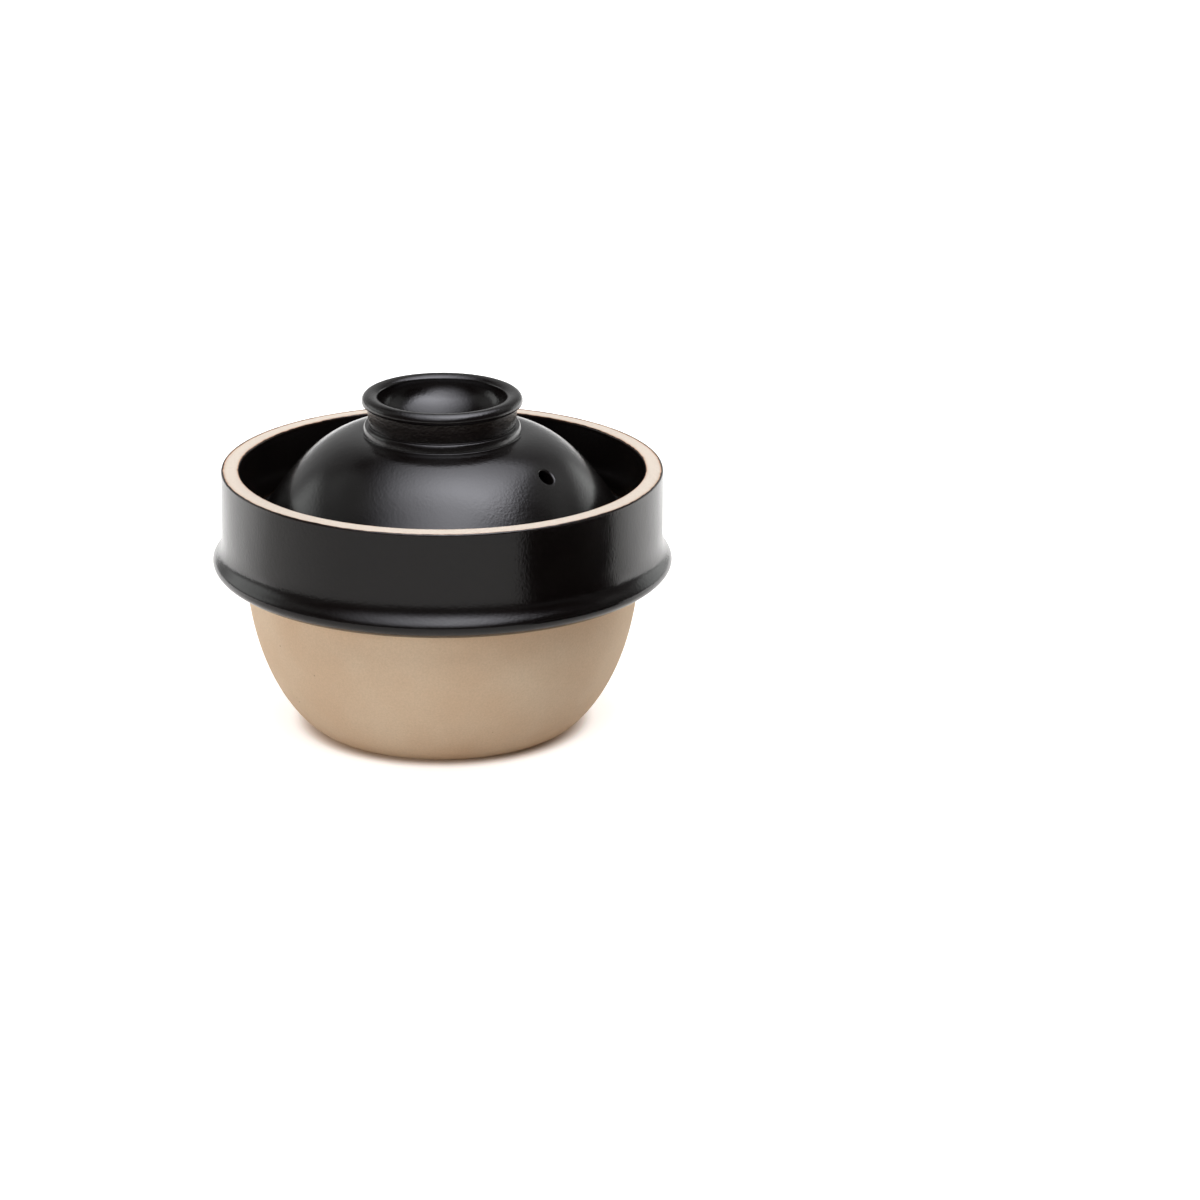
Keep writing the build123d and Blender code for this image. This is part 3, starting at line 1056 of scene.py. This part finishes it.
up_share = add(
    tree, "ShaderNodeMapRange",
    {"From Min": SHEET_FOOT, "From Max": SHEET_TOP},
    {"Value": sheet_place.outputs["Y"]},
)
up_ramp = add(tree, "ShaderNodeValToRGB", links={"Fac": up_share.outputs["Result"]})
stops = up_ramp.color_ramp.elements
for height_up, brightness in BRIGHTNESS_UP_SHEET[1:-1]:
    stop = stops.new((height_up - SHEET_FOOT) / (SHEET_TOP - SHEET_FOOT))
    stop.color = (brightness, brightness, brightness, 1)
stops[0].color = (0, 0, 0, 1)
stops[-1].color = (0, 0, 0, 1)
width_share = add(
    tree, "ShaderNodeMath",
    {"operation": "MULTIPLY"},
    {0: from_left.outputs["Result"], 1: inside_edge.outputs["Result"]},
)
pattern = add(
    tree, "ShaderNodeMath",
    {"operation": "MULTIPLY"},
    {0: width_share.outputs["Value"], 1: up_ramp.outputs["Color"]},
)
strength = add(
    tree, "ShaderNodeMath",
    {"operation": "MULTIPLY", 1: SHEET_STRENGTH},
    {0: pattern.outputs["Value"]},
)
sheet_glow = add(
    tree, "ShaderNodeEmission",
    {"Color": SHEET_COLOUR},
    {"Strength": strength.outputs["Value"]},
)
add(tree, "ShaderNodeOutputMaterial", links={"Surface": sheet_glow.outputs["Emission"]})

# %% [markdown]
# ## Hanging the sheet
#
# The sheet faces the pot from its azimuth and elevation, and is then tilted in its own plane, which
# makes the slant of the highlight's right edge.

# %% Sheet in place
SHEET_AZIMUTH = -23.1
SHEET_ELEVATION = 54.0
SHEET_TILT = 18.2

left, right, foot, top = (
    share * SHEET_DISTANCE for share in (SHEET_LEFT, SHEET_RIGHT, SHEET_FOOT, SHEET_TOP)
)
sheet = stage_quad(
    "diffusing_sheet",
    [(left, foot, 0), (right, foot, 0), (right, top, 0), (left, top, 0)],
    sheet_material,
)
normal = direction(SHEET_AZIMUTH, SHEET_ELEVATION)
level = Vector((math.cos(math.radians(SHEET_AZIMUTH)), math.sin(math.radians(SHEET_AZIMUTH)), 0))
uphill = normal.cross(level)
uphill = uphill if uphill.z > 0 else -uphill
tilt = math.radians(SHEET_TILT)
axis_x = level * math.cos(tilt) + uphill * math.sin(tilt)
axis_y = uphill * math.cos(tilt) - level * math.sin(tilt)
sheet.matrix_world = Matrix.Translation(normal * SHEET_DISTANCE) @ Matrix(
    (axis_x, axis_y, axis_x.cross(axis_y))
).transposed().to_4x4()

# %% [markdown]
# ## Black card
#
# A matt black card stands on the table at the right, close to the pot, and is mirrored in the collar
# as a dark upright band.

# %% Black card
CARD_BLACK = "#050505"
CARD_AZIMUTH = 58
CARD_DISTANCE = 0.20
CARD_WIDTH = 0.178
CARD_HEIGHT = 0.075

card_material, tree = new_material("black_card", CARD_BLACK)
card_matt = add(tree, "ShaderNodeBsdfDiffuse", {"Color": linear(CARD_BLACK)})
add(tree, "ShaderNodeOutputMaterial", links={"Surface": card_matt.outputs["BSDF"]})
centre = direction(CARD_AZIMUTH, 0) * CARD_DISTANCE
side = Vector((0, 0, 1)).cross(direction(CARD_AZIMUTH, 0)) * CARD_WIDTH / 2
rise = Vector((0, 0, CARD_HEIGHT))
lift_off = Vector((0, 0, MM))
stage_quad(
    "black_card",
    [centre - side + lift_off, centre + side + lift_off, centre + side + rise, centre - side + rise],
    card_material,
)

# %% [markdown]
# ## White cards
#
# Two soft white cards stand behind at the left and at the right. They make the pale greenish patches
# at both sides of the dome and on the flange. Greyer ones higher up show in the dish of the knob. A
# card fades towards its edges, and all share one material: each tells it how bright to be through its
# own object colour.

# %% White cards
WHITE_CARDS = (
    ("white_card_left", {"azimuth": -111, "elevation": 22, "width": 0.66, "height": 0.4, "glow": 1.15}),
    ("white_card_right", {"azimuth": 129, "elevation": 16, "width": 0.56, "height": 0.34, "glow": 1.15}),
    ("grey_card_left", {"azimuth": -98, "elevation": 48, "width": 0.7, "height": 0.4, "glow": 0.3}),
    ("grey_card_right", {"azimuth": 112, "elevation": 42, "width": 0.6, "height": 0.4, "glow": 0.3}),
)
WHITE_CARD_DISTANCE = 0.75
WHITE_CARD_SOFTNESS = 0.3
WHITE_CARD_COLOUR = (0.97, 1.0, 0.98, 1.0)

card_glow, tree = new_material("white_card", "#F4F6F2")
card_place = add(tree, "ShaderNodeTexCoord").outputs["Generated"]
from_middle = add(
    tree, "ShaderNodeVectorMath",
    {"operation": "SUBTRACT", 1: (0.5, 0.5, 0.5)},
    {0: card_place},
)
from_edges = add(
    tree, "ShaderNodeVectorMath",
    {"operation": "ABSOLUTE"},
    {0: from_middle.outputs["Vector"]},
)
edge_places = add(tree, "ShaderNodeSeparateXYZ", links={"Vector": from_edges.outputs["Vector"]})
fades = [
    add(
        tree, "ShaderNodeMapRange",
        {
            "interpolation_type": "SMOOTHSTEP",
            "From Min": 0.5 - WHITE_CARD_SOFTNESS,
            "From Max": 0.5,
            "To Min": 1.0,
            "To Max": 0.0,
        },
        {"Value": edge_places.outputs[axis]},
    ).outputs["Result"]
    for axis in ("X", "Y")
]
card_share = add(tree, "ShaderNodeMath", {"operation": "MULTIPLY"}, {0: fades[0], 1: fades[1]})
card_power = add(tree, "ShaderNodeObjectInfo")
card_strength = add(
    tree, "ShaderNodeMath",
    {"operation": "MULTIPLY"},
    {0: card_share.outputs["Value"], 1: card_power.outputs["Alpha"]},
)
glowing = add(
    tree, "ShaderNodeEmission",
    {"Color": WHITE_CARD_COLOUR},
    {"Strength": card_strength.outputs["Value"]},
)
clear = add(tree, "ShaderNodeBsdfTransparent")
card_surface = add(
    tree, "ShaderNodeAddShader",
    links={0: glowing.outputs["Emission"], 1: clear.outputs["BSDF"]},
)
add(tree, "ShaderNodeOutputMaterial", links={"Surface": card_surface.outputs["Shader"]})

for name, settings in WHITE_CARDS:
    half_width = settings["width"] / 2
    half_height = settings["height"] / 2
    white = stage_quad(
        name,
        [(-half_width, -half_height, 0), (half_width, -half_height, 0), (half_width, half_height, 0),
         (-half_width, half_height, 0)],
        card_glow,
    )
    towards = direction(settings["azimuth"], settings["elevation"])
    white.color = (1, 1, 1, settings["glow"])
    white.location = towards * WHITE_CARD_DISTANCE
    white.rotation_euler = towards.to_track_quat("Z", "Y").to_euler()

# %% [markdown]
# ## The room
#
# Behind the pot the room is white, and the sides and the front are darker, as in a studio where only
# the backdrop is lit. What lights the clay and what the glaze mirrors are told apart by the kind of
# ray, so the black dome gets its pale edges at the left and the right, while its front stays dark.
# The camera sees plain white wherever it looks past the floor.

# %% Room that lights the pot
ROOM_DARK = 0.192
ROOM_WHITE = 0.8
BACKDROP_HEADING = Vector((-0.1, 0.995, 0))
BACKDROP_FADE = (-0.25, 0.6)
ROOM_TOP_LOW = math.sin(math.radians(30))
ROOM_TOP_HIGH = math.sin(math.radians(50))

world = bpy.data.worlds.new("studio")
bpy.context.scene.world = world
world.use_nodes = True
tree = world.node_tree
tree.nodes.clear()
looking = add(tree, "ShaderNodeTexCoord").outputs["Generated"]
facing = add(
    tree, "ShaderNodeVectorMath",
    {"operation": "DOT_PRODUCT", 1: BACKDROP_HEADING},
    {0: looking},
)
backdrop = add(
    tree, "ShaderNodeMapRange",
    {"interpolation_type": "SMOOTHSTEP", "From Min": BACKDROP_FADE[0], "From Max": BACKDROP_FADE[1]},
    {"Value": facing.outputs["Value"]},
)
looking_up = add(tree, "ShaderNodeSeparateXYZ", links={"Vector": looking})
below_top = add(
    tree, "ShaderNodeMapRange",
    {
        "interpolation_type": "SMOOTHSTEP",
        "From Min": ROOM_TOP_LOW,
        "From Max": ROOM_TOP_HIGH,
        "To Min": 1.0,
        "To Max": 0.0,
    },
    {"Value": looking_up.outputs["Z"]},
)
lit_share = add(
    tree, "ShaderNodeMath",
    {"operation": "MULTIPLY"},
    {0: backdrop.outputs["Result"], 1: below_top.outputs["Result"]},
)
room = add(
    tree, "ShaderNodeMapRange",
    {"To Min": ROOM_DARK, "To Max": ROOM_WHITE},
    {"Value": lit_share.outputs["Value"]},
)

# %% [markdown]
# ## The room in the mirror
#
# The glaze sees a narrower and dimmer backdrop than the one that lights the clay, brightest near the
# horizon. At the end the kinds of ray are joined: lighting rays, mirror rays and the camera's own.

# %% Room that the glaze mirrors
MIRRORED_DARK = 0.088
MIRRORED_WHITE = 0.6
MIRRORED_FADE = (0.2, 1.0)
HORIZON_FADE_TO = 0.6
HORIZON_SHARE_LEFT = 0.35

mirrored_facing = add(
    tree, "ShaderNodeMapRange",
    {"interpolation_type": "SMOOTHSTEP", "From Min": MIRRORED_FADE[0], "From Max": MIRRORED_FADE[1]},
    {"Value": facing.outputs["Value"]},
)
near_horizon = add(
    tree, "ShaderNodeMapRange",
    {"From Max": HORIZON_FADE_TO, "To Min": 1.0, "To Max": HORIZON_SHARE_LEFT},
    {"Value": looking_up.outputs["Z"]},
)
mirrored_share = add(
    tree, "ShaderNodeMath",
    {"operation": "MULTIPLY"},
    {0: mirrored_facing.outputs["Result"], 1: near_horizon.outputs["Result"]},
)
mirrored = add(
    tree, "ShaderNodeMapRange",
    {"To Min": MIRRORED_DARK, "To Max": MIRRORED_WHITE},
    {"Value": mirrored_share.outputs["Value"]},
)
path = add(tree, "ShaderNodeLightPath")
bounced = add(
    tree, "ShaderNodeMix",
    {"data_type": "FLOAT"},
    {0: path.outputs["Is Glossy Ray"], 2: room.outputs["Result"], 3: mirrored.outputs["Result"]},
)
seen = add(
    tree, "ShaderNodeMix",
    {"data_type": "FLOAT", 3: 1.0},
    {0: path.outputs["Is Camera Ray"], 2: bounced.outputs[0]},
)
surround = add(
    tree, "ShaderNodeBackground",
    {"Color": (1.0, 1.0, 1.0, 1.0)},
    {"Strength": seen.outputs[0]},
)
add(tree, "ShaderNodeOutputWorld", links={"Surface": surround.outputs["Background"]})
print("world nodes", len(tree.nodes))

# %% [markdown]
# ## Finish
#
# The view transform is set to Standard, so that a colour comes out as it is written.

# %% Finish
bpy.context.scene.view_settings.view_transform = "Standard"
